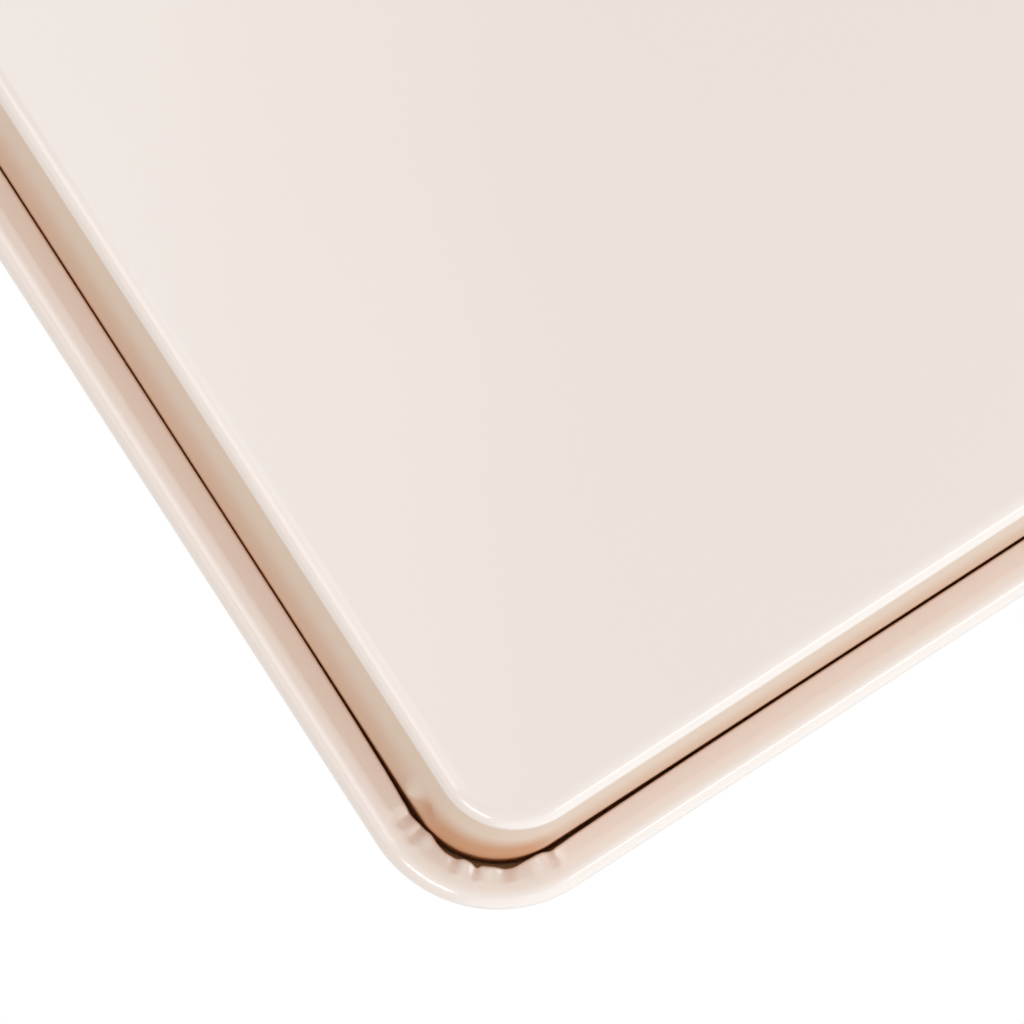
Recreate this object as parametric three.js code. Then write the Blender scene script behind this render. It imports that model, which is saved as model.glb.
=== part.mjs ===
// A rectangular cake pan with a rolled rim, in millimetres, with +Z up.
// The pan is pressed from one steel sheet: a flat floor, four walls that lean out, and a rim
// rolled outwards and down round a steel wire that runs all the way round the mouth.
// The origin is the middle of the floor's underside, and the long sides run along X.
import * as THREE from "three";

// The mouth, inside the walls where they meet the rim, and the height over the rim.
const MOUTH_LENGTH = 330;
const MOUTH_WIDTH = 229;
const HEIGHT = 50;

// The sheet: its thickness, the lean of the walls, and the bend between floor and wall, inside.
const SHEET = 0.8;
const DRAFT = THREE.MathUtils.degToRad(7);
const BEND_RADIUS = 2.6;

// The round of the four corners in plan: outside at the foot of the walls, and inside at the mouth.
const FOOT_CORNER_RADIUS = 12.7;
const MOUTH_CORNER_RADIUS = 14.8;

// The wire in the rim, its running clearance inside the roll, and the gap between its two ends.
const WIRE_DIAMETER = 6.4;
const WIRE_CLEARANCE = 0.3;
const WIRE_END_GAP = 1;

// The lip that ends the roll: it rises towards the wall at LIP_RISE and stops LIP_GAP short of it.
// Round the corners the sheet could not be drawn in as far, so the gap widens by CORNER_LIP_OPENING.
const LIP_RISE = THREE.MathUtils.degToRad(9);
const LIP_GAP = 0.6;
const CORNER_LIP_OPENING = 1.5;

// The size of one facet: in the section's arcs, in the corners in plan, and round the wire.
const SECTION_STEP = THREE.MathUtils.degToRad(15);
const CORNER_STEPS = 9;
const WIRE_SIDES = 12;

const QUARTER_TURN = Math.PI / 2;

// The section of the pan is drawn in (u, z): u points straight out from the line where the outer
// face of the wall would meet the table.
const insideRollRadius = WIRE_DIAMETER / 2 + WIRE_CLEARANCE;
const rollRadius = insideRollRadius + SHEET;
const rollCentre = new THREE.Vector2();
rollCentre.y = HEIGHT - rollRadius;
rollCentre.x = rollCentre.y * Math.tan(DRAFT) + insideRollRadius / Math.cos(DRAFT);

const outerBendRadius = BEND_RADIUS + SHEET;
const bendCentre = new THREE.Vector2();
bendCentre.y = outerBendRadius;
bendCentre.x = (outerBendRadius * Math.sin(DRAFT) - outerBendRadius) / Math.cos(DRAFT);

// The mouth is measured where the inner face of the wall turns into the roll, and the foot of the
// wall, at u = 0, lies further in by what the lean and the roll take up.
const mouthOffset = rollCentre.x - rollRadius * Math.cos(DRAFT);
const halfMouth = new THREE.Vector2(MOUTH_LENGTH / 2, MOUTH_WIDTH / 2);

// The corner arcs have one centre at the foot of the walls and another at the rim, and the wall's
// corner runs straight from the one arc to the other. reach is each arc's radius at u = 0.
const foot = {
  centre: halfMouth.clone().subScalar(mouthOffset + FOOT_CORNER_RADIUS),
  reach: FOOT_CORNER_RADIUS,
};
const rim = {
  centre: halfMouth.clone().subScalar(MOUTH_CORNER_RADIUS),
  reach: MOUTH_CORNER_RADIUS - mouthOffset,
};

// Points on an arc of the section, through the given angles in turn, each of which gets a point.
function arcPoints(centre, radius, angles) {
  const points = [];
  angles.slice(1).forEach((to, i) => {
    const from = angles[i];
    const steps = Math.ceil(Math.abs(to - from) / SECTION_STEP);
    const arc = new THREE.EllipseCurve(centre.x, centre.y, radius, radius, from, to, to < from);
    points.push(...arc.getPoints(steps).slice(i === 0 ? 0 : 1));
  });
  return points;
}

// How far the straight lip runs on past the arc of the roll, for a given gap to the wall.
function lipRun(gap) {
  const endAngle = -QUARTER_TURN - LIP_RISE + DRAFT;
  const toWall = insideRollRadius + rollRadius * Math.cos(endAngle);
  return (toWall - gap) / -Math.sin(endAngle);
}

// Points of the section marked with the level, foot or rim, whose corner arcs they follow.
function atLevel(level, points) {
  return points.map(({ x: u, y: z }) => ({ level, u, z }));
}

// The sheet's section as one open line: from the inside of the floor up the inner face, over the
// roll to the lip, round the sheet's edge, and back on the other face to the floor's underside.
function sheetSection(gap) {
  const rollEnd = -QUARTER_TURN - LIP_RISE;
  const bendAngles = [-QUARTER_TURN, -DRAFT];
  const rollAngles = [Math.PI - DRAFT, QUARTER_TURN, 0, -QUARTER_TURN, rollEnd];
  const run = lipRun(gap);
  const lip = new THREE.Vector2(Math.sin(rollEnd) * run, -Math.cos(rollEnd) * run);

  const bendInside = arcPoints(bendCentre, BEND_RADIUS, bendAngles);
  const rollOutside = arcPoints(rollCentre, rollRadius, rollAngles);
  const lipOutside = rollOutside.at(-1).clone().add(lip);
  const rollInside = arcPoints(rollCentre, insideRollRadius, rollAngles.toReversed());
  const lipInside = rollInside[0].clone().add(lip);
  const bendOutside = arcPoints(bendCentre, outerBendRadius, bendAngles.toReversed());
  return [
    ...atLevel(foot, bendInside),
    ...atLevel(rim, [...rollOutside, lipOutside, lipInside, ...rollInside]),
    ...atLevel(foot, bendOutside),
  ];
}

// The stations round the pan, anticlockwise from the +X side: each stands on a corner's arc, with
// the arc's centre at a level, the direction out from it, and how far round it is, from 0 to 1.
function cornerStations() {
  const signs = [[1, 1], [-1, 1], [-1, -1], [1, -1]];
  const stations = [];
  signs.forEach(([signX, signY], corner) => {
    const side = new THREE.Vector2(signX, signY);
    const centreAt = (level) => level.centre.clone().multiply(side);
    for (let step = 0; step <= CORNER_STEPS; step++) {
      const share = step / CORNER_STEPS;
      const angle = (corner + share) * QUARTER_TURN;
      const outward = new THREE.Vector2(Math.cos(angle), Math.sin(angle));
      stations.push({ centreAt, outward, share });
    }
  });
  return stations;
}

// A point of the section, at offset u and height z, carried to a station.
function placeAt(station, { level, u, z }) {
  const plan = station.centreAt(level).addScaledVector(station.outward, level.reach + u);
  return new THREE.Vector3(plan.x, plan.y, z);
}

// A closed solid through a row of closed convex loops with equally many points each: bands join
// each loop to the next, and a fan closes the first loop and the last.
function loftThrough(loops) {
  const around = loops[0].length;
  const lastLoop = (loops.length - 1) * around;
  const index = [];
  for (let row = 0; row < loops.length - 1; row++) {
    for (let i = 0; i < around; i++) {
      const next = (i + 1) % around;
      const a = row * around + i;
      const b = row * around + next;
      index.push(a, b, b + around, a, b + around, a + around);
    }
  }
  for (let i = 1; i < around - 1; i++) {
    index.push(0, i + 1, i);
    index.push(lastLoop, lastLoop + i, lastLoop + i + 1);
  }
  const geometry = new THREE.BufferGeometry().setFromPoints(loops.flat());
  geometry.setIndex(index);
  geometry.computeVertexNormals();
  return geometry;
}

// The pan: each point of the section gives one level loop round the pan, from the inside of the
// floor to its underside. The gap at the lip swells and closes again over each corner.
function panBodyGeometry() {
  const stations = cornerStations();
  const sections = stations.map(({ share }) =>
    sheetSection(LIP_GAP + CORNER_LIP_OPENING * Math.sin(Math.PI * share) ** 2),
  );
  const loops = sections[0].map((_, point) =>
    stations.map((station, i) => placeAt(station, sections[i][point])),
  );
  return loftThrough(loops.reverse());
}

// The wire: circles carried round the middle of the roll, from the middle of the back long side
// and round all four corners to the same place again, short of its own start by the end gap.
function rimWireGeometry() {
  const stations = cornerStations();
  const wireEnd = (side) => ({
    centreAt: (level) => new THREE.Vector2((side * WIRE_END_GAP) / 2, level.centre.y),
    outward: new THREE.Vector2(0, 1),
  });
  const afterFirstCorner = CORNER_STEPS + 1;
  const route = [
    wireEnd(-1),
    ...stations.slice(afterFirstCorner),
    ...stations.slice(0, afterFirstCorner),
    wireEnd(1),
  ];
  const circle = wireSection();
  return loftThrough(route.map((station) => circle.map((point) => placeAt(station, point))));
}

// The wire's section, clockwise round the middle of the roll, with no point repeated at its end.
function wireSection() {
  const { x, y } = rollCentre;
  const radius = WIRE_DIAMETER / 2;
  const circle = new THREE.EllipseCurve(x, y, radius, radius, 0, 2 * Math.PI, true);
  return atLevel(rim, circle.getPoints(WIRE_SIDES).slice(0, WIRE_SIDES));
}

const champagneCoat = new THREE.MeshStandardMaterial({ color: "#dcc3ad", roughness: 0.42, metalness: 0.6 });
const darkWire = new THREE.MeshStandardMaterial({ color: "#4a3a30", roughness: 0.6, metalness: 0.8 });

function subPart(name, geometry, material) {
  const mesh = new THREE.Mesh(geometry, material);
  mesh.name = name;
  return mesh;
}

const cakePan = new THREE.Group();
cakePan.add(
  subPart("pan_body", panBodyGeometry(), champagneCoat),
  subPart("rim_wire", rimWireGeometry(), darkWire),
);

export default cakePan;
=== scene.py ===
# A rectangular cake pan of champagne-coated steel sheet, shown from below at one corner of its rolled rim.
# Lengths are in metres, in the part's own frame: +Z up, the long sides along X, and the underside of the
# floor at z = 0.
import math

import bpy
import numpy as np
from mathutils import Matrix, Vector


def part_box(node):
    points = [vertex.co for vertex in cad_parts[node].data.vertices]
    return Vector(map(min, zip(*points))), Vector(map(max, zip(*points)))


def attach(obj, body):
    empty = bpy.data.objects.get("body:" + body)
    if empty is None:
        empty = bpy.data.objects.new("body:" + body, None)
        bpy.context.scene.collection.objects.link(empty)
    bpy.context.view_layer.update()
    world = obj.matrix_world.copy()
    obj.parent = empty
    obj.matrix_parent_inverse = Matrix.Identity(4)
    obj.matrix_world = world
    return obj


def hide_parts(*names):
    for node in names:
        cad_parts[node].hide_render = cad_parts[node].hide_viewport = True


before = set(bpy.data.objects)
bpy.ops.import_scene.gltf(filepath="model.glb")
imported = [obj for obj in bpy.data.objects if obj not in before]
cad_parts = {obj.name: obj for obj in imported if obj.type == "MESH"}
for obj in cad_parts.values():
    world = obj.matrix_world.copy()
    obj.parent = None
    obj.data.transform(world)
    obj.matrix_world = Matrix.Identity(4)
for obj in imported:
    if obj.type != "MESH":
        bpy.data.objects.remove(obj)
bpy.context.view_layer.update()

MM = 0.001
QUARTER_TURN = math.pi / 2

# The sheet, as the part has it: its thickness, the lean of the walls, the bend between floor and wall,
# inside, the round of the corners in plan, outside at the foot of the walls and inside at the mouth, and
# how steeply the lip that ends the roll rises towards the wall.
SHEET = 0.8 * MM
DRAFT = math.radians(7)
BEND_RADIUS = 2.6 * MM
FOOT_CORNER_RADIUS = 12.7 * MM
MOUTH_CORNER_RADIUS = 14.8 * MM
LIP_RISE = math.radians(9)

# Places round a corner are shares of its turn, from 0 where it starts to 1 where it ends, and run on along
# the sides in lengths of its arc. The sheet was gathered in there, so the gap between the lip's edge and
# the wall opens and wavers: place and gap in mm. Each gap is a mean over LIP_SMOOTHING on either side.
LIP_CORNER_ARC = QUARTER_TURN * (MOUTH_CORNER_RADIUS + SHEET)
LIP_GAPS = [
    (-1.50, 0.42),
    (-0.50, 0.64),
    (-0.13, 0.80),
    (-0.06, 0.92),
    (0.01, 0.95),
    (0.07, 0.50),
    (0.12, 0.48),
    (0.19, 0.75),
    (0.27, 1.40),
    (0.32, 1.50),
    (0.39, 1.20),
    (0.475, 1.15),
    (0.50, 1.80),
    (0.525, 1.20),
    (0.59, 0.85),
    (0.64, 1.30),
    (0.72, 1.25),
    (0.78, 0.90),
    (0.85, 0.42),
    (0.92, 0.45),
    (0.98, 0.78),
    (1.06, 1.06),
    (1.14, 0.92),
    (1.30, 0.68),
    (1.60, 0.46),
    (2.50, 0.25),
]
LIP_SMOOTHING = 0.012
LIP_SMOOTHING_POINTS = 9

# The folds that run out from the lip's edge over the rim: place, depth and width of each. Where the depth
# is below 0 the lip bulges outwards.
FOLDS = [
    (-0.03, -0.35 * MM, 0.040),
    (0.02, 0.65 * MM, 0.036),
    (0.10, -0.35 * MM, 0.045),
    (0.31, 0.65 * MM, 0.040),
    (0.40, -0.25 * MM, 0.035),
    (0.50, 0.60 * MM, 0.028),
    (0.56, -0.25 * MM, 0.030),
    (0.635, 0.65 * MM, 0.032),
    (0.86, -0.30 * MM, 0.040),
    (0.92, 0.60 * MM, 0.038),
    (0.97, -0.30 * MM, 0.030),
    (1.03, 0.55 * MM, 0.040),
    (1.10, -0.45 * MM, 0.040),
]
# The folds begin at an angle round the roll and deepen as a power of the way from there to the lip's edge.
# The roll has a share of that way, and the straight lip the rest. A fold stops short of the wire.
GATHER_START = math.radians(-70)
ROLL_SHARE = 0.7
FOLD_POWER = 3
WIRE_MARGIN = 0.05 * MM

# A bump and a shallow hollow in the wall beside the seen corner: place, share of the wall's height, how far
# out, width and half the height of each.
WALL_DENTS = [
    (1.15, 0.60, 1.3 * MM, 0.070, 0.14),
    (1.01, 0.66, -0.65 * MM, 0.070, 0.18),
]

# What the frame gives: the wire's thickness, the middle of the roll round it and the pan's outline.
pan_high = np.array(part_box("pan_body")[1])
wire_low, wire_high = (np.array(corner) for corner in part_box("rim_wire"))
WIRE_RADIUS = (wire_high[2] - wire_low[2]) / 2
WIRE_END_GAP = 1 * MM
ROLL_HEIGHT = (wire_high[2] + wire_low[2]) / 2
ROLL_RADIUS = pan_high[2] - ROLL_HEIGHT
ROLL_INSIDE = ROLL_RADIUS - SHEET
ROLL_END = -QUARTER_TURN - LIP_RISE

# The section is drawn in (u, z), with u straight out from the line where the wall's outer face meets the
# table: the middles of the bend and the roll, the direction across the wall, and those across and along
# the lip.
ROLL_OFFSET = ROLL_HEIGHT * math.tan(DRAFT) + ROLL_INSIDE / math.cos(DRAFT)
MOUTH_OFFSET = ROLL_OFFSET - ROLL_RADIUS * math.cos(DRAFT)
BEND_OUTSIDE = BEND_RADIUS + SHEET
BEND_OFFSET = (BEND_OUTSIDE * math.sin(DRAFT) - BEND_OUTSIDE) / math.cos(DRAFT)
BEND_MIDDLE = np.array([BEND_OFFSET, BEND_OUTSIDE])
ROLL_MIDDLE = np.array([ROLL_OFFSET, ROLL_HEIGHT])
WALL_ACROSS = np.array([math.cos(DRAFT), -math.sin(DRAFT)])
LIP_ACROSS = np.array([math.cos(ROLL_END), math.sin(ROLL_END)])
LIP_ALONG = np.array([math.sin(ROLL_END), -math.cos(ROLL_END)])

# Half the outline at u = 0, and the corner arcs' centres and their radii there, at the foot of the walls
# and at the rim.
HALF_FOOT = pan_high[:2] - ROLL_RADIUS - ROLL_OFFSET
FOOT_CENTRE = HALF_FOOT - FOOT_CORNER_RADIUS
RIM_CENTRE = HALF_FOOT + MOUTH_OFFSET - MOUTH_CORNER_RADIUS
FOOT_REACH = FOOT_CORNER_RADIUS
RIM_REACH = MOUTH_CORNER_RADIUS - MOUTH_OFFSET

# The corners in turn, which of them the photo shows, and the centre of its arc at the rim, at z = 0.
CORNER_SIGNS = np.array([[1, 1], [-1, 1], [-1, -1], [1, -1]])
SEEN_CORNER = 3
SEEN_MIDDLE = np.append(RIM_CENTRE * CORNER_SIGNS[SEEN_CORNER], 0)

# How far along a side, from the end of a corner, the steps of the path stay short.
NEAR_CORNER = 6 * MM

# How finely the section is divided: the points of its arcs, of the lip and of the lip's edge, the shares of
# the walls' height that get a point, and how far in from the bend the floor's points lie. Points close to
# the ends of the flat parts keep their shading flat.
BEND_POINTS = 15
ROLL_OVER_POINTS = 16
ROLL_UNDER_POINTS = 27
LIP_POINTS = 9
EDGE_POINTS = 10
WALL_SHARES = np.concatenate([[0.004, 0.03, 0.15], np.linspace(0.25, 0.95, 15), [0.97, 0.996]])
FLOOR_INSETS = np.array([8, 4, 1.5, 0.4, 0.1]) * MM

# Painted shade deepens the coat's colour up the wall's outer face towards the slit behind the lip. Each pair
# is
# for the sides and for the corners: the share of the wall's height where it starts, how deep it gets, and
# the share where the wall passes behind the lip. Behind the lip the painted shade deepens to its full tone
# by
# ROLL_TOP. A fold gets painted shade as deep in tone as its depth over FOLD_SHADE_DEPTH, the hollow as much
# painted shade, and the bump as much painted light.
SHADE_FROM = (0.2, 0.24)
DEEPEST_SHADE = (0.32, 0.75)
BEHIND_LIP = (0.78, 0.66)
ROLL_TOP = 0.96
FOLD_SHADE_DEPTH = 3.0 * MM

# Between which places, at either end of a corner's turn, the painted shade and the painted light on the coat
# change from a side's to a corner's.
CORNER_ENDS = (-0.1, 0.2)

# Between which angles of the bend the coat turns from the floor's colour to the walls' painted shade, darker
# and warmer.
BEND_TONE = (math.radians(-28), math.radians(0))
# How far the lip and the bottom of the roll have the walls' painted shade, and between which angles of the
# roll it turns back to the floor's colour.
LIP_TONE = 0.2
ROLL_TONE = 0.36
RIM_TONE = (math.radians(-80), math.radians(-58))
# Between which angles of the roll the painted light that makes the lip paler fades out, from the lip
# outwards.
PAINTED_LIGHT_FADE = (math.radians(-99), math.radians(-72))


def smooth_step(x, start, end):
    """Rises from 0 at start to 1 at end as 3t squared less 2t cubed, and is flat outside them."""
    t = np.clip((x - start) / (end - start), 0, 1)
    return t * t * (3 - 2 * t)


def bell(x, middle, width):
    """A bell of height 1: exp of less the square of the distance from its middle in widths."""
    return np.exp(-(((x - middle) / width) ** 2))


def side_runs(length, near_steps, middle_steps):
    """Distances along a side: even steps over NEAR_CORNER at both ends and, between them, steps that
    lengthen towards the middle as a cosine."""
    near = NEAR_CORNER * np.arange(near_steps) / near_steps
    share = (1 - np.cos(np.pi * np.arange(middle_steps + 1) / middle_steps)) / 2
    middle = NEAR_CORNER + share * (length - 2 * NEAR_CORNER)
    return np.concatenate([near, middle, length - near[:0:-1]])


class RimPath:
    """The way round the pan, anticlockwise from the +X side, as stations: each corner is a quarter circle
    of even steps, and each side then runs straight to the next corner. outward is the direction across the
    wall, middle the corner centre as signs, or a mix of two along a side, and corner the nearest corner.
    share is how far round that corner a station is, which runs on past 0 and 1 along the sides, and place
    is the same, but mirrored at every second corner so that neighbours differ."""

    def __init__(self, corner_steps, near_steps, middle_steps):
        turn = np.arange(corner_steps) / corner_steps
        angles, middles, corners, shares = [], [], [], []
        for corner, sign in enumerate(CORNER_SIGNS):
            after = (corner + 1) % len(CORNER_SIGNS)
            step = CORNER_SIGNS[after] - sign
            length = np.abs(step) @ RIM_CENTRE
            run = side_runs(length, near_steps, middle_steps)
            first_half = run < length / 2
            angles += [(corner + turn) * QUARTER_TURN, np.full(len(run), (corner + 1) * QUARTER_TURN)]
            middles += [np.repeat(sign[None], corner_steps, 0), sign + run[:, None] / length * step]
            corners += [np.full(corner_steps, corner), np.where(first_half, corner, after)]
            from_corner = np.where(first_half, run, run - length) / LIP_CORNER_ARC
            shares += [turn, np.where(first_half, 1, 0) + from_corner]
        angle = np.concatenate(angles)
        self.outward = np.stack([np.cos(angle), np.sin(angle)], 1)
        self.middle = np.concatenate(middles)
        self.corner = np.concatenate(corners)
        self.share = np.concatenate(shares)
        mirrored = self.corner % 2 == (SEEN_CORNER + 1) % 2
        self.place = np.where(mirrored, 1 - self.share, self.share)

    def carry(self, u, z, level):
        """Section points carried to every station, as an array of rows, stations and x, y, z. u, z and
        level have a row for each point. level is 0 for points that follow the corner arcs at the foot, 1
        for those at the rim, and between them up the wall."""
        centre = FOOT_CENTRE + level[..., None] * (RIM_CENTRE - FOOT_CENTRE)
        reach = FOOT_REACH + level * (RIM_REACH - FOOT_REACH) + u
        plan = self.middle * centre + self.outward * reach[..., None]
        return np.concatenate([plan, np.broadcast_to(z, plan.shape[:2])[..., None]], 2)


def gather_share(angle):
    """How far an angle of the roll is on the way from where the folds begin to the lip's edge: 0 before it,
    and ROLL_SHARE at the end of the roll."""
    return ROLL_SHARE * np.clip((GATHER_START - angle) / (GATHER_START - ROLL_END), 0, 1)


class Section:
    """The pan's section as one row of points, built up piece by piece. Beside u, z, level and the direction
    across the sheet, each point has these, all from 0 to 1: its share of the straight lip (run), its way
    from where the folds begin to the lip's edge (lip), its share of the wall's height (height, and wall on
    the outer face only), how far it has the walls' painted shade (drawn), how far it is inside the
    roll (hidden) and how far its coat is painted paler as painted light (painted_light)."""

    COLUMNS = (
        "u", "z", "level", "across_u", "across_z",
        "run", "lip", "height", "wall", "drawn", "hidden", "painted_light",
    )

    def __init__(self):
        self.pieces = []

    def add(self, points, across, **columns):
        """Adds points of u and z, with the direction across the sheet. Columns that aren't given are 0."""
        u, z = points.T
        across_u, across_z = np.broadcast_to(across, points.shape).T
        given = {"u": u, "z": z, "across_u": across_u, "across_z": across_z, **columns}
        self.pieces.append([np.broadcast_to(given.get(name, 0.0), len(u)) for name in self.COLUMNS])

    def add_floor(self, insets, z):
        points = np.stack([BEND_OFFSET - insets, np.full(len(insets), z)], 1)
        self.add(points, across=(0, 0))

    def add_arc(self, middle, radius, angles, **columns):
        """An arc about middle through the given angles in turn. The direction across is along its radius."""
        across = np.stack([np.cos(angles), np.sin(angles)], 1)
        self.add(middle + radius * across, across, **columns)

    def add_wall(self, shares, bend_radius, roll_radius, outer):
        """A face of the wall, straight from the bend at one radius to the roll at the other."""
        bottom = BEND_MIDDLE + bend_radius * WALL_ACROSS
        top = ROLL_MIDDLE - roll_radius * WALL_ACROSS
        points = bottom + shares[:, None] * (top - bottom)
        self.add(points, WALL_ACROSS, level=shares, height=shares, wall=shares * outer, drawn=1.0)

    def add_lip(self, shares, radius, hidden):
        """A face of the straight lip, all at the end of the roll: pan_shell draws it out by its run."""
        points = np.repeat([ROLL_MIDDLE + radius * LIP_ACROSS], len(shares), 0)
        lip = ROLL_SHARE + (1 - ROLL_SHARE) * shares
        tones = {"drawn": LIP_TONE, "hidden": hidden, "painted_light": 1.0}
        self.add(points, LIP_ACROSS, level=1.0, run=shares, lip=lip, **tones)

    def add_edge(self, turn):
        """The lip's edge: a half circle from the sheet's outer face to its inner face."""
        middle = ROLL_MIDDLE + (ROLL_RADIUS - SHEET / 2) * LIP_ACROSS
        out = np.cos(turn)[:, None] * LIP_ACROSS + np.sin(turn)[:, None] * LIP_ALONG
        tones = {"drawn": LIP_TONE, "hidden": turn / math.pi, "painted_light": 1.0}
        self.add(middle + SHEET / 2 * out, LIP_ACROSS, level=1.0, run=1.0, lip=1.0, **tones)

    def columns(self):
        """Each column by its name, upright, so that it multiplies with a row of stations."""
        return {name: column[:, None] for name, column in zip(self.COLUMNS, np.concatenate(self.pieces, 1))}


def sheet_section():
    """The sheet's section from the inside of the floor up the inner face, over the roll, round the lip's
    edge and back on the other face to the floor's underside. Arcs and the lip are in even steps."""
    bend_up = np.linspace(-QUARTER_TURN, -DRAFT, BEND_POINTS)
    roll_over = np.linspace(math.pi - DRAFT, 0, ROLL_OVER_POINTS)
    roll_under = np.linspace(0, ROLL_END, ROLL_UNDER_POINTS)
    roll_down = np.append(roll_over, roll_under[1:])
    roll_up = roll_down[::-2]
    lip_out = np.linspace(0, 1, LIP_POINTS)[1:]
    edge_turn = np.linspace(0, math.pi, EDGE_POINTS)[1:-1]
    # Painted shade makes the bend, walls, lip and bottom of the roll darker and warmer, and the inside of
    # the roll deep brown; painted light makes the lip paler.
    bend_drawn = smooth_step(bend_up, *BEND_TONE)
    on_roll = {
        "lip": gather_share(roll_down),
        "drawn": ROLL_TONE * (1 - smooth_step(roll_down, *RIM_TONE)),
        "painted_light": 1 - smooth_step(roll_down, *PAINTED_LIGHT_FADE),
    }
    in_roll = {"lip": gather_share(roll_up), "drawn": 1.0, "hidden": 1.0}

    section = Section()
    section.add_floor(FLOOR_INSETS, SHEET)
    section.add_arc(BEND_MIDDLE, BEND_RADIUS, bend_up, drawn=bend_drawn)
    section.add_wall(WALL_SHARES, BEND_RADIUS, ROLL_RADIUS, outer=False)
    section.add_arc(ROLL_MIDDLE, ROLL_RADIUS, roll_down, level=1.0, **on_roll)
    section.add_lip(lip_out, ROLL_RADIUS, hidden=0.0)
    section.add_edge(edge_turn)
    section.add_lip(lip_out[::-1], ROLL_INSIDE, hidden=1.0)
    section.add_arc(ROLL_MIDDLE, ROLL_INSIDE, roll_up, level=1.0, **in_roll)
    section.add_wall(WALL_SHARES[::-1], BEND_OUTSIDE, ROLL_INSIDE, outer=True)
    section.add_arc(BEND_MIDDLE, BEND_OUTSIDE, bend_up[::-1], drawn=bend_drawn[::-1])
    section.add_floor(FLOOR_INSETS[::-1], 0.0)
    return section.columns()


def in_corner(path):
    """How far each station lies in a corner: 1 round its middle, falling to 0 just past its ends."""
    return smooth_step(path.place, *CORNER_ENDS) * smooth_step(1 - path.place, *CORNER_ENDS)


def lip_gap(path):
    """The gap between the lip's edge and the wall at each station: straight lines between the measured
    places, made smooth by taking the mean over a short stretch on either side."""
    known_places, known_gaps = np.array(LIP_GAPS).T
    near = np.linspace(-LIP_SMOOTHING, LIP_SMOOTHING, LIP_SMOOTHING_POINTS)
    return np.interp(path.place[:, None] + near, known_places, known_gaps).mean(1) * MM


def lip_run(gap):
    """How far the straight lip runs on past the roll, for its rounded edge to stop at the gap."""
    end_angle = ROLL_END + DRAFT
    to_wall = ROLL_INSIDE + ROLL_RADIUS * math.cos(end_angle)
    return (to_wall - gap) / -math.sin(end_angle) - SHEET / 2


def fold_depth(path, section):
    """How deep the sheet is folded in at each row and station: the sum of a bell for each fold, times the
    power FOLD_POWER of the way to the lip's edge."""
    depth = sum(deepest * bell(path.place, spot, width) for spot, deepest, width in FOLDS)
    return section["lip"] ** FOLD_POWER * depth


def wall_dents(path, section):
    """How far the wall stands out at each row and station: a bell up the wall times a bell along it for
    each dent, beside the seen corner only."""
    height = section["height"]
    out = np.zeros((len(height), len(path.share)))
    for place, middle, depth, width, half_height in WALL_DENTS:
        beside = bell(path.share, place, width) * (path.corner == SEEN_CORNER)
        upright = bell(height, middle, half_height) * (height > 0)
        out = out + depth * upright * beside
    return out


def coat_tone(path, section):
    """The coat's tone at each row and station, painted shade for the most part: 0 on the floor, rising over
    the bend to 0.5 on the walls, and on to 1 inside the roll. The lip and the bottom of the roll lie between
    the floor and the walls. Painted shade makes the tone deeper in the folds and the hollow, painted light
    makes it less so on the bump, and painted shade deepens it up the wall's outer face towards the slit,
    more so round the corners, where the gap is wider."""
    wall = section["wall"]
    cornered = in_corner(path)
    start, deepest, behind_from = (
        side + cornered * (corner - side) for side, corner in (SHADE_FROM, DEEPEST_SHADE, BEHIND_LIP)
    )
    on_wall = deepest * smooth_step(wall, start, behind_from)
    behind = np.maximum(section["hidden"], smooth_step(wall, behind_from, ROLL_TOP))
    # Painted shade in the folds and the hollow, and painted light on the bump.
    fold_shade = np.clip(fold_depth(path, section), 0, None) / FOLD_SHADE_DEPTH
    dent_shade_and_light = -wall_dents(path, section) / FOLD_SHADE_DEPTH
    deep = np.maximum(behind, np.maximum(on_wall, fold_shade) + dent_shade_and_light)
    return (section["drawn"] + np.clip(deep, 0, 1)) / 2


def close_surface(name, rows, first_pole, last_pole):
    """A closed mesh through a grid of rows and stations: bands of quads join the rows, round and back to
    the first station, and a fan of triangles closes the first and the last row on one point each."""
    count, around = rows.shape[:2]
    vertices = np.concatenate([rows.reshape(-1, 3), [first_pole, last_pole]])
    here = np.arange(around)
    beside = (here + 1) % around
    base = np.arange(count - 1)[:, None] * around
    above = base + around
    quads = np.stack([base + here, base + beside, above + beside, above + here], 2).reshape(-1, 4)
    first, last = count * around, count * around + 1
    top = (count - 1) * around
    fans = np.concatenate([
        np.stack([np.full(around, first), beside, here], 1),
        np.stack([np.full(around, last), top + here, top + beside], 1),
    ])
    mesh = bpy.data.meshes.new(name)
    mesh.from_pydata(vertices, [], quads.tolist() + fans.tolist())
    mesh.polygons.foreach_set("use_smooth", np.ones(len(mesh.polygons), dtype=bool))
    mesh.update()
    piece = bpy.data.objects.new(name, mesh)
    bpy.context.scene.collection.objects.link(piece)
    return piece


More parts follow.
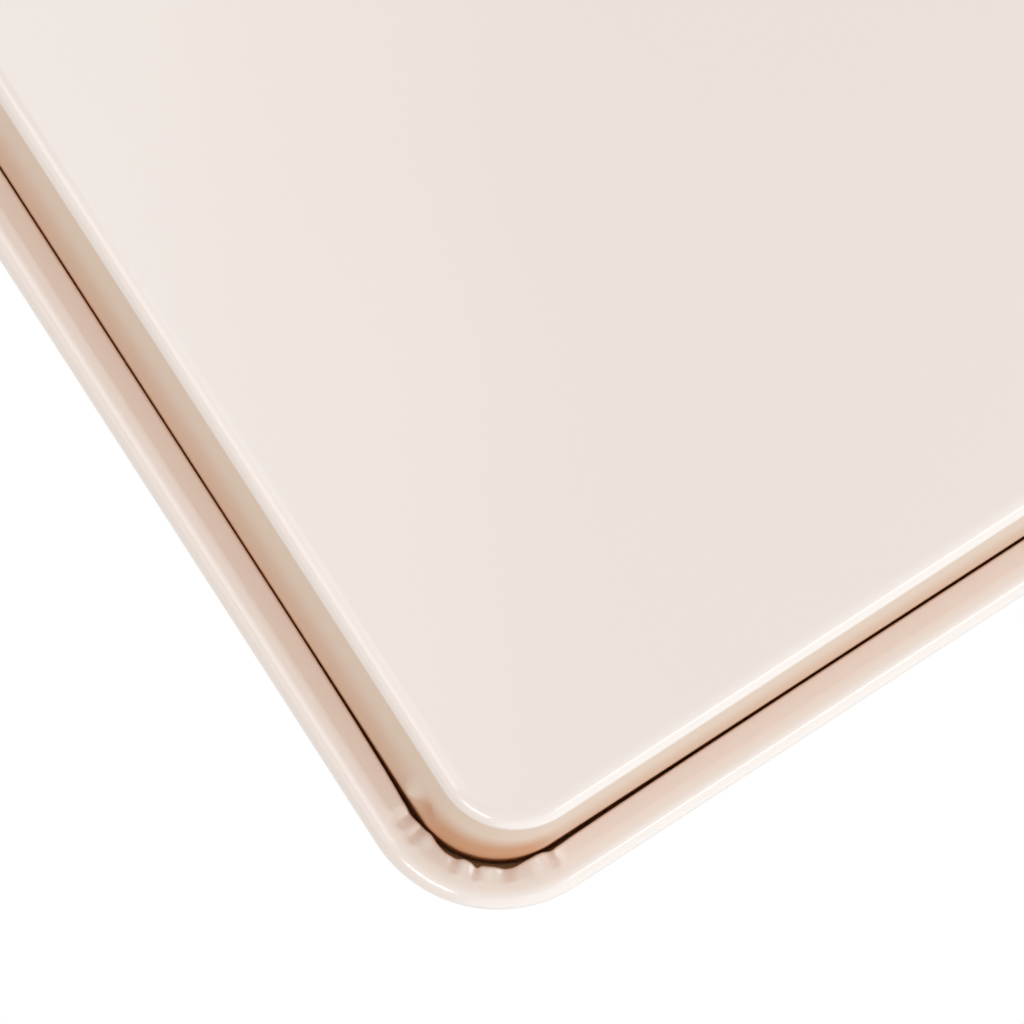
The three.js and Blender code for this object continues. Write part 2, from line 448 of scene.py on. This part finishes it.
def pan_shell():
    """The pressed pan: the sheet's section carried round the pan, with the lip drawn out to its gap and
    pushed in at the folds, and with the dents in the wall. A fold levels off, as a tanh, at the room that
    the wire leaves it."""
    path = RimPath(corner_steps=80, near_steps=15, middle_steps=12)
    section = sheet_section()
    run = section["run"] * lip_run(lip_gap(path))
    depth = fold_depth(path, section)
    room = np.hypot(ROLL_INSIDE, run) - WIRE_RADIUS - WIRE_MARGIN
    folded = np.where(depth > 0, room * np.tanh(depth / room), depth)
    pushed = wall_dents(path, section) - folded
    u = section["u"] + LIP_ALONG[0] * run + section["across_u"] * pushed
    z = section["z"] + LIP_ALONG[1] * run + section["across_z"] * pushed
    rows = path.carry(u, z, section["level"])
    shell = close_surface("pan_shell", rows[::-1], (0, 0, 0), (0, 0, SHEET))
    on_poles = np.zeros(2)
    # The tone carries painted shade; the lip is given painted light, paler along the sides but not round the
    # corners.
    tone = coat_tone(path, section)
    painted_light = section["painted_light"] * (1 - in_corner(path))
    for name, values in (("tone", tone), ("painted_light", painted_light)):
        attribute = shell.data.attributes.new(name, "FLOAT", "POINT")
        attribute.data.foreach_set("value", np.append(values[::-1], on_poles).astype(np.float32))
    return shell


def rim_wire():
    """The wire in the rim: a circle carried along the middle of the roll, from the middle of the back side
    round to the same place again, each end closed by a flat cap."""
    corner_steps, near_steps, middle_steps = 32, 2, 10
    sides = 32
    path = RimPath(corner_steps, near_steps, middle_steps)
    turn = np.linspace(0, 2 * np.pi, sides, endpoint=False)[:, None]
    u = ROLL_OFFSET + WIRE_RADIUS * np.cos(turn)
    z = ROLL_HEIGHT + WIRE_RADIUS * np.sin(turn)
    tube = path.carry(u, z, np.ones_like(turn)).transpose(1, 0, 2)
    back_middle = corner_steps + near_steps + middle_steps // 2
    half_gap = np.array([WIRE_END_GAP / 2, 0, 0])
    ends = tube[back_middle] - half_gap, tube[back_middle] + half_gap
    rows = np.concatenate([ends[:1], tube[back_middle + 1:], tube[:back_middle], ends[1:]])
    return close_surface("rim_wire_drawn", rows, ends[0].mean(0), ends[1].mean(0))


class Socket:
    """One output of a shader node. Arithmetic on it adds Math nodes, with numbers on either side."""

    def __init__(self, graph, link):
        self.graph = graph
        self.link = link

    def math(self, operation, first, second):
        return self.graph.node("ShaderNodeMath", {"operation": operation}, {0: first, 1: second})

    def __add__(self, other):
        return self.math("ADD", self, other)

    def __radd__(self, other):
        return self.math("ADD", other, self)

    def __sub__(self, other):
        return self.math("SUBTRACT", self, other)

    def __rsub__(self, other):
        return self.math("SUBTRACT", other, self)

    def __mul__(self, other):
        return self.math("MULTIPLY", self, other)

    def __rmul__(self, other):
        return self.math("MULTIPLY", other, self)


class Graph:
    """The nodes of one material or world, made afresh."""

    def __init__(self, owner):
        owner.use_nodes = True
        self.tree = owner.node_tree
        self.tree.nodes.clear()

    def node(self, kind, settings=None, inputs=None, output=0):
        """Adds a node: its settings, then its inputs, by name or number, as values or Sockets."""
        made = self.tree.nodes.new(kind)
        for name, value in (settings or {}).items():
            setattr(made, name, value)
        for name, value in (inputs or {}).items():
            if isinstance(value, Socket):
                self.tree.links.new(value.link, made.inputs[name])
            else:
                made.inputs[name].default_value = value
        return Socket(self, made.outputs[output]) if made.outputs else made

    def mix_colour(self, factor, first, second):
        """A mix of two colours, by number, as the colour sockets share their names with others."""
        return self.node("ShaderNodeMix", {"data_type": "RGBA"}, {0: factor, 6: first, 7: second}, 2)

    def mix_shader(self, factor, first, second):
        return self.node("ShaderNodeMixShader", {}, {0: factor, 1: first, 2: second})

    def noise(self, place, scale, detail):
        return self.node("ShaderNodeTexNoise", {}, {"Vector": place, "Scale": scale, "Detail": detail})

    def smooth_range(self, value, start, end):
        """Rises smoothly from 0 at start to 1 at end, and is flat outside them."""
        inputs = {"Value": value, "From Min": start, "From Max": end}
        return self.node("ShaderNodeMapRange", {"interpolation_type": "SMOOTHSTEP"}, inputs)

    def attribute(self, name):
        return self.node("ShaderNodeAttribute", {"attribute_name": name}, output="Fac")

    def object_place(self):
        return self.node("ShaderNodeTexCoord", output="Object")


def new_material(name):
    material = bpy.data.materials.new(name)
    return material, Graph(material)


# The coat's colour on the flat floor; the walls' painted shade, darker and warmer; the painted shade, deep
# brown, in the groove behind the lip and inside the roll; and the painted light that makes the lip paler
# along the sides.
FLOOR_COLOUR = (0.805, 0.72, 0.66, 1)
WALL_SHADE_COLOUR = (0.74, 0.59, 0.48, 1)
GROOVE_SHADE_COLOUR = (0.57, 0.245, 0.10, 1)
PAINTED_LIGHT_COLOUR = (0.89, 0.79, 0.72, 1)
# How far the deepest places of the coat's drift and flake have the groove's colour.
DRIFT_SHADE = 0.03


def champagne_coat():
    """The champagne coat: a pale gold lacquer over metal flake, with a faint drift in tone, a fine flake
    and a soft skin. Its colour carries painted shade, darker and warmer on the walls, and deep brown in the
    groove behind the lip, inside the roll, in the folds and in the hollow, and painted light, paler on the
    bump and on the lip along the sides. The clear layer over it thins out from the floor, at tone 0, to the
    walls, at 0.5."""
    material, graph = new_material("champagne_coat")
    place = graph.object_place()
    tone = graph.attribute("tone")
    painted_light = graph.attribute("painted_light")
    drift = graph.noise(place, scale=14, detail=3)
    flake = graph.noise(place, scale=5200, detail=1)
    peel = graph.noise(place, scale=520, detail=2)
    # Painted light makes the lip paler; painted shade makes the walls darker and warmer and the groove deep
    # brown.
    pale = graph.mix_colour(painted_light, FLOOR_COLOUR, PAINTED_LIGHT_COLOUR)
    drawn = graph.mix_colour(tone * 2, pale, WALL_SHADE_COLOUR)
    paint = graph.mix_colour(tone * 2 - 1, drawn, GROOVE_SHADE_COLOUR)
    colour = graph.mix_colour((drift + flake) * DRIFT_SHADE, paint, GROOVE_SHADE_COLOUR)
    skin = graph.node("ShaderNodeBump", {}, {"Strength": 0.05, "Distance": 0.2 * MM, "Height": peel})
    shader = graph.node("ShaderNodeBsdfPrincipled", {}, {
        "Base Color": colour,
        "Metallic": 0.15,
        "Roughness": 0.40 + 0.06 * drift,
        "Normal": skin,
        "Specular IOR Level": 0.0,
        "Coat Weight": 1 - 2 * tone,
        "Coat Roughness": 0.13,
        "Coat IOR": 1.8,
    })
    graph.node("ShaderNodeOutputMaterial", {}, {"Surface": shader})
    return material


# The wire's colour, partly its own dark tone and partly painted shade, in its darker and in its paler
# patches.
WIRE_DARK = (0.38, 0.25, 0.13, 1)
WIRE_PALE = (0.50, 0.34, 0.19, 1)


def dark_wire():
    """The bare steel wire, dark brown in darker and paler patches: partly its own tone, partly painted
    shade, so that it looks shadowed where it shows through the gap at the corner.
    """
    material, graph = new_material("dark_wire")
    patches = graph.noise(graph.object_place(), scale=180, detail=4)
    shader = graph.node("ShaderNodeBsdfPrincipled", {}, {
        "Base Color": graph.mix_colour(patches, WIRE_DARK, WIRE_PALE),
        "Metallic": 0.4,
        "Roughness": 0.45 + 0.2 * patches,
    })
    graph.node("ShaderNodeOutputMaterial", {}, {"Surface": shader})
    return material


# The floor that the pan stands on: its colour, half its width, its level just under the pan, and the
# distances from the middle between which it fades out.
STUDIO_COLOUR = (0.82, 0.81, 0.80, 1)
STUDIO_HALF = 2.6
STUDIO_LEVEL = -0.2 * MM
STUDIO_FADE = (0.35, 0.95)


def pale_floor():
    """A pale floor that only the camera sees, and from above only, so that the pan can be photographed from
    below. It fades into the white surroundings with distance."""
    material, graph = new_material("pale_floor")
    camera = graph.node("ShaderNodeLightPath", output="Is Camera Ray")
    backfacing = graph.node("ShaderNodeNewGeometry", output="Backfacing")
    place = graph.object_place()
    distance = graph.node("ShaderNodeVectorMath", {"operation": "LENGTH"}, {0: place}, "Value")
    fade = graph.smooth_range(distance, *STUDIO_FADE)
    seen = camera * (1 - backfacing) * (1 - fade)
    clear = graph.node("ShaderNodeBsdfTransparent")
    matt = graph.node("ShaderNodeBsdfDiffuse", {}, {"Color": STUDIO_COLOUR})
    graph.node("ShaderNodeOutputMaterial", {}, {"Surface": graph.mix_shader(seen, clear, matt)})
    return material


def studio_floor():
    signs = [(-1, -1), (1, -1), (1, 1), (-1, 1)]
    corners = [(x * STUDIO_HALF, y * STUDIO_HALF, STUDIO_LEVEL) for x, y in signs]
    mesh = bpy.data.meshes.new("studio_floor")
    mesh.from_pydata(corners, [], [(0, 1, 2, 3)])
    floor = bpy.data.objects.new("studio_floor", mesh)
    bpy.context.scene.collection.objects.link(floor)
    mesh.materials.append(pale_floor())


# The sky that lights matt surfaces: its colour below and above, the direction in which it rises, which
# leans towards +X, and the heights along that between which the one colour passes into the other.
SKY_BELOW = (0.777, 0.76, 0.743, 1)
SKY_ABOVE = (0.30, 0.28, 0.26, 1)
SKY_UP = (0.24, 0, 1)
SKY_PASSAGE = (0.2, 0.65)

# The colour of white surroundings and lamps, and the rays that see the surroundings in place of the sky.
WHITE = (1, 1, 1)
RAYS_TO_WHITE = ("Camera", "Glossy", "Transmission")


def white_surroundings():
    """White all round for the camera, in reflections and through glass. Other rays see a pale sky below and
    a warmer, dimmer one above, with a smooth passage between them."""
    world = bpy.data.worlds.new("white_surroundings")
    bpy.context.scene.world = world
    graph = Graph(world)
    camera, glossy, transmitted = (
        graph.node("ShaderNodeLightPath", output=f"Is {kind} Ray") for kind in RAYS_TO_WHITE
    )
    seen = camera + glossy + transmitted
    direction = graph.node("ShaderNodeTexCoord", output="Generated")
    along_up = {0: direction, 1: SKY_UP}
    height = graph.node("ShaderNodeVectorMath", {"operation": "DOT_PRODUCT"}, along_up, "Value")
    colour = graph.mix_colour(graph.smooth_range(height, *SKY_PASSAGE), SKY_BELOW, SKY_ABOVE)
    sky = graph.node("ShaderNodeBackground", {}, {"Color": colour, "Strength": 1.0})
    white = graph.node("ShaderNodeBackground", {}, {"Color": (*WHITE, 1), "Strength": 1.0})
    graph.node("ShaderNodeOutputWorld", {}, {"Surface": graph.mix_shader(seen, sky, white)})


# The colour of the cooler lamps, and the watts that a square metre of lamp takes for a radiance of 1.
DAYLIGHT = (0.82, 0.99, 1.12)
LAMP_WATTS = 4

# Three dim boxes below the pan, which overlap: the place that they lie about, the way across them, how far
# across each is, what they face, their size and their radiance.
BELOW_PLACE = np.array([0.173, 0.082, -0.93])
BELOW_ACROSS = np.array([-0.85, -0.53, 0])
BELOW_INSETS = {"near": 0.05, "middle": -0.04, "far": -0.13}
BELOW_AIM = (0.04, 0, 0)
BELOW_SIZE = (0.55, 0.20)
BELOW_RADIANCE = 0.25

# The lamps round the seen corner, which all face it from the same distance: azimuth from +X and angle up
# from straight below, in degrees, then size, radiance and colour.
LAMP_DISTANCE = 1.0
CORNER_LAMPS = {
    "left_low_softbox": (5, 29, (0.34, 0.55), 0.45, DAYLIGHT),
    "left_softbox": (10, 56, (0.5, 0.4), 0.88, WHITE),
    "left_strip": (10, 86, (0.5, 0.4), 0.25, WHITE),
    "right_softbox": (-88, 102, (1.7, 1.3), 0.36, DAYLIGHT),
    "key_softbox": (-150, 58, (0.8, 0.6), 1.4, DAYLIGHT),
    "right_strip": (-108, 74, (0.6, 0.08), 3.0, WHITE),
    "corner_softbox": (-28, 76, (0.4, 0.12), 5.0, WHITE),
}

# The lamps above the pan, kept out of its reflections: place, what it faces, size and radiance of each.
UPPER_LAMPS = {
    "overhead_softbox": ((-0.35, 0.45, 1.2), (0, 0, 0), (0.9, 0.9), 3.2),
    "ceiling_softbox": ((0.1, -0.1, 1.5), (0.1, -0.1, 0), (2.0, 2.0), 0.8),
}


def soft_lamp(name, place, aim, size, radiance, colour, mirrored=True):
    """A rectangular lamp at place, facing aim. The camera never sees it; reflections do if mirrored."""
    light = bpy.data.lights.new(name, "AREA")
    light.shape = "RECTANGLE"
    light.size, light.size_y = size
    light.color = colour
    light.energy = LAMP_WATTS * size[0] * size[1] * radiance
    lamp = bpy.data.objects.new(name, light)
    lamp.location = place
    lamp.rotation_euler = (Vector(aim) - Vector(place)).to_track_quat("-Z", "Y").to_euler()
    lamp.visible_camera = False
    lamp.visible_glossy = mirrored
    bpy.context.scene.collection.objects.link(lamp)


def away_from_corner(azimuth, from_nadir):
    """The point LAMP_DISTANCE from the seen corner, at an azimuth from +X and an angle up from below."""
    a, n = math.radians(azimuth), math.radians(from_nadir)
    away = np.array([math.sin(n) * math.cos(a), math.sin(n) * math.sin(a), -math.cos(n)])
    return SEEN_MIDDLE + LAMP_DISTANCE * away


def studio_lamps():
    for name, inset in BELOW_INSETS.items():
        place = BELOW_PLACE + inset * BELOW_ACROSS
        soft_lamp(f"below_softbox_{name}", place, BELOW_AIM, BELOW_SIZE, BELOW_RADIANCE, DAYLIGHT)
    for name, (azimuth, from_nadir, size, radiance, colour) in CORNER_LAMPS.items():
        soft_lamp(name, away_from_corner(azimuth, from_nadir), SEEN_MIDDLE, size, radiance, colour)
    for name, (place, aim, size, radiance) in UPPER_LAMPS.items():
        soft_lamp(name, place, aim, size, radiance, WHITE, mirrored=False)


# The camera: its place, the point of the floor's underside in the middle of the picture, which way the
# picture's right-hand side points, round from +X, and its focal length against the picture's width, both in
# pixels.
CAMERA_PLACE = Vector((172.52, -68.71, -763.2)) * MM
CAMERA_TARGET = Vector((128.65, -66.67, 0)) * MM
PICTURE_RIGHT = math.radians(212.785)
FOCAL_PIXELS = 5000
PICTURE_PIXELS = 1024


def photo_camera():
    data = bpy.data.cameras.new("photo_camera")
    data.sensor_width = 36
    data.lens = data.sensor_width * FOCAL_PIXELS / PICTURE_PIXELS
    data.clip_start = 0.01
    data.clip_end = 20
    forward = (CAMERA_TARGET - CAMERA_PLACE).normalized()
    level_right = Vector((math.cos(PICTURE_RIGHT), math.sin(PICTURE_RIGHT), 0))
    right = (level_right - level_right.dot(forward) * forward).normalized()
    up = right.cross(forward)
    axes = Matrix((right, up, -forward)).transposed()
    camera = bpy.data.objects.new("photo_camera", data)
    camera.matrix_world = Matrix.Translation(CAMERA_PLACE) @ axes.to_4x4()
    bpy.context.scene.collection.objects.link(camera)
    bpy.context.scene.camera = camera


BOUNCES = 20


def groove_bounces():
    """Lets light bounce on between the lip and the wall, where the coat glows brown."""
    cycles = bpy.context.scene.cycles
    cycles.max_bounces = BOUNCES
    cycles.glossy_bounces = BOUNCES
    cycles.diffuse_bounces = BOUNCES


def finish_piece(piece, node, material):
    """Gives a piece its material and sets it in place of its node."""
    piece.data.materials.append(material)
    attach(piece, "root")
    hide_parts(node)


bpy.context.scene.view_settings.view_transform = "Standard"
groove_bounces()
photo_camera()
white_surroundings()
studio_lamps()
studio_floor()
finish_piece(pan_shell(), "pan_body", champagne_coat())
finish_piece(rim_wire(), "rim_wire", dark_wire())
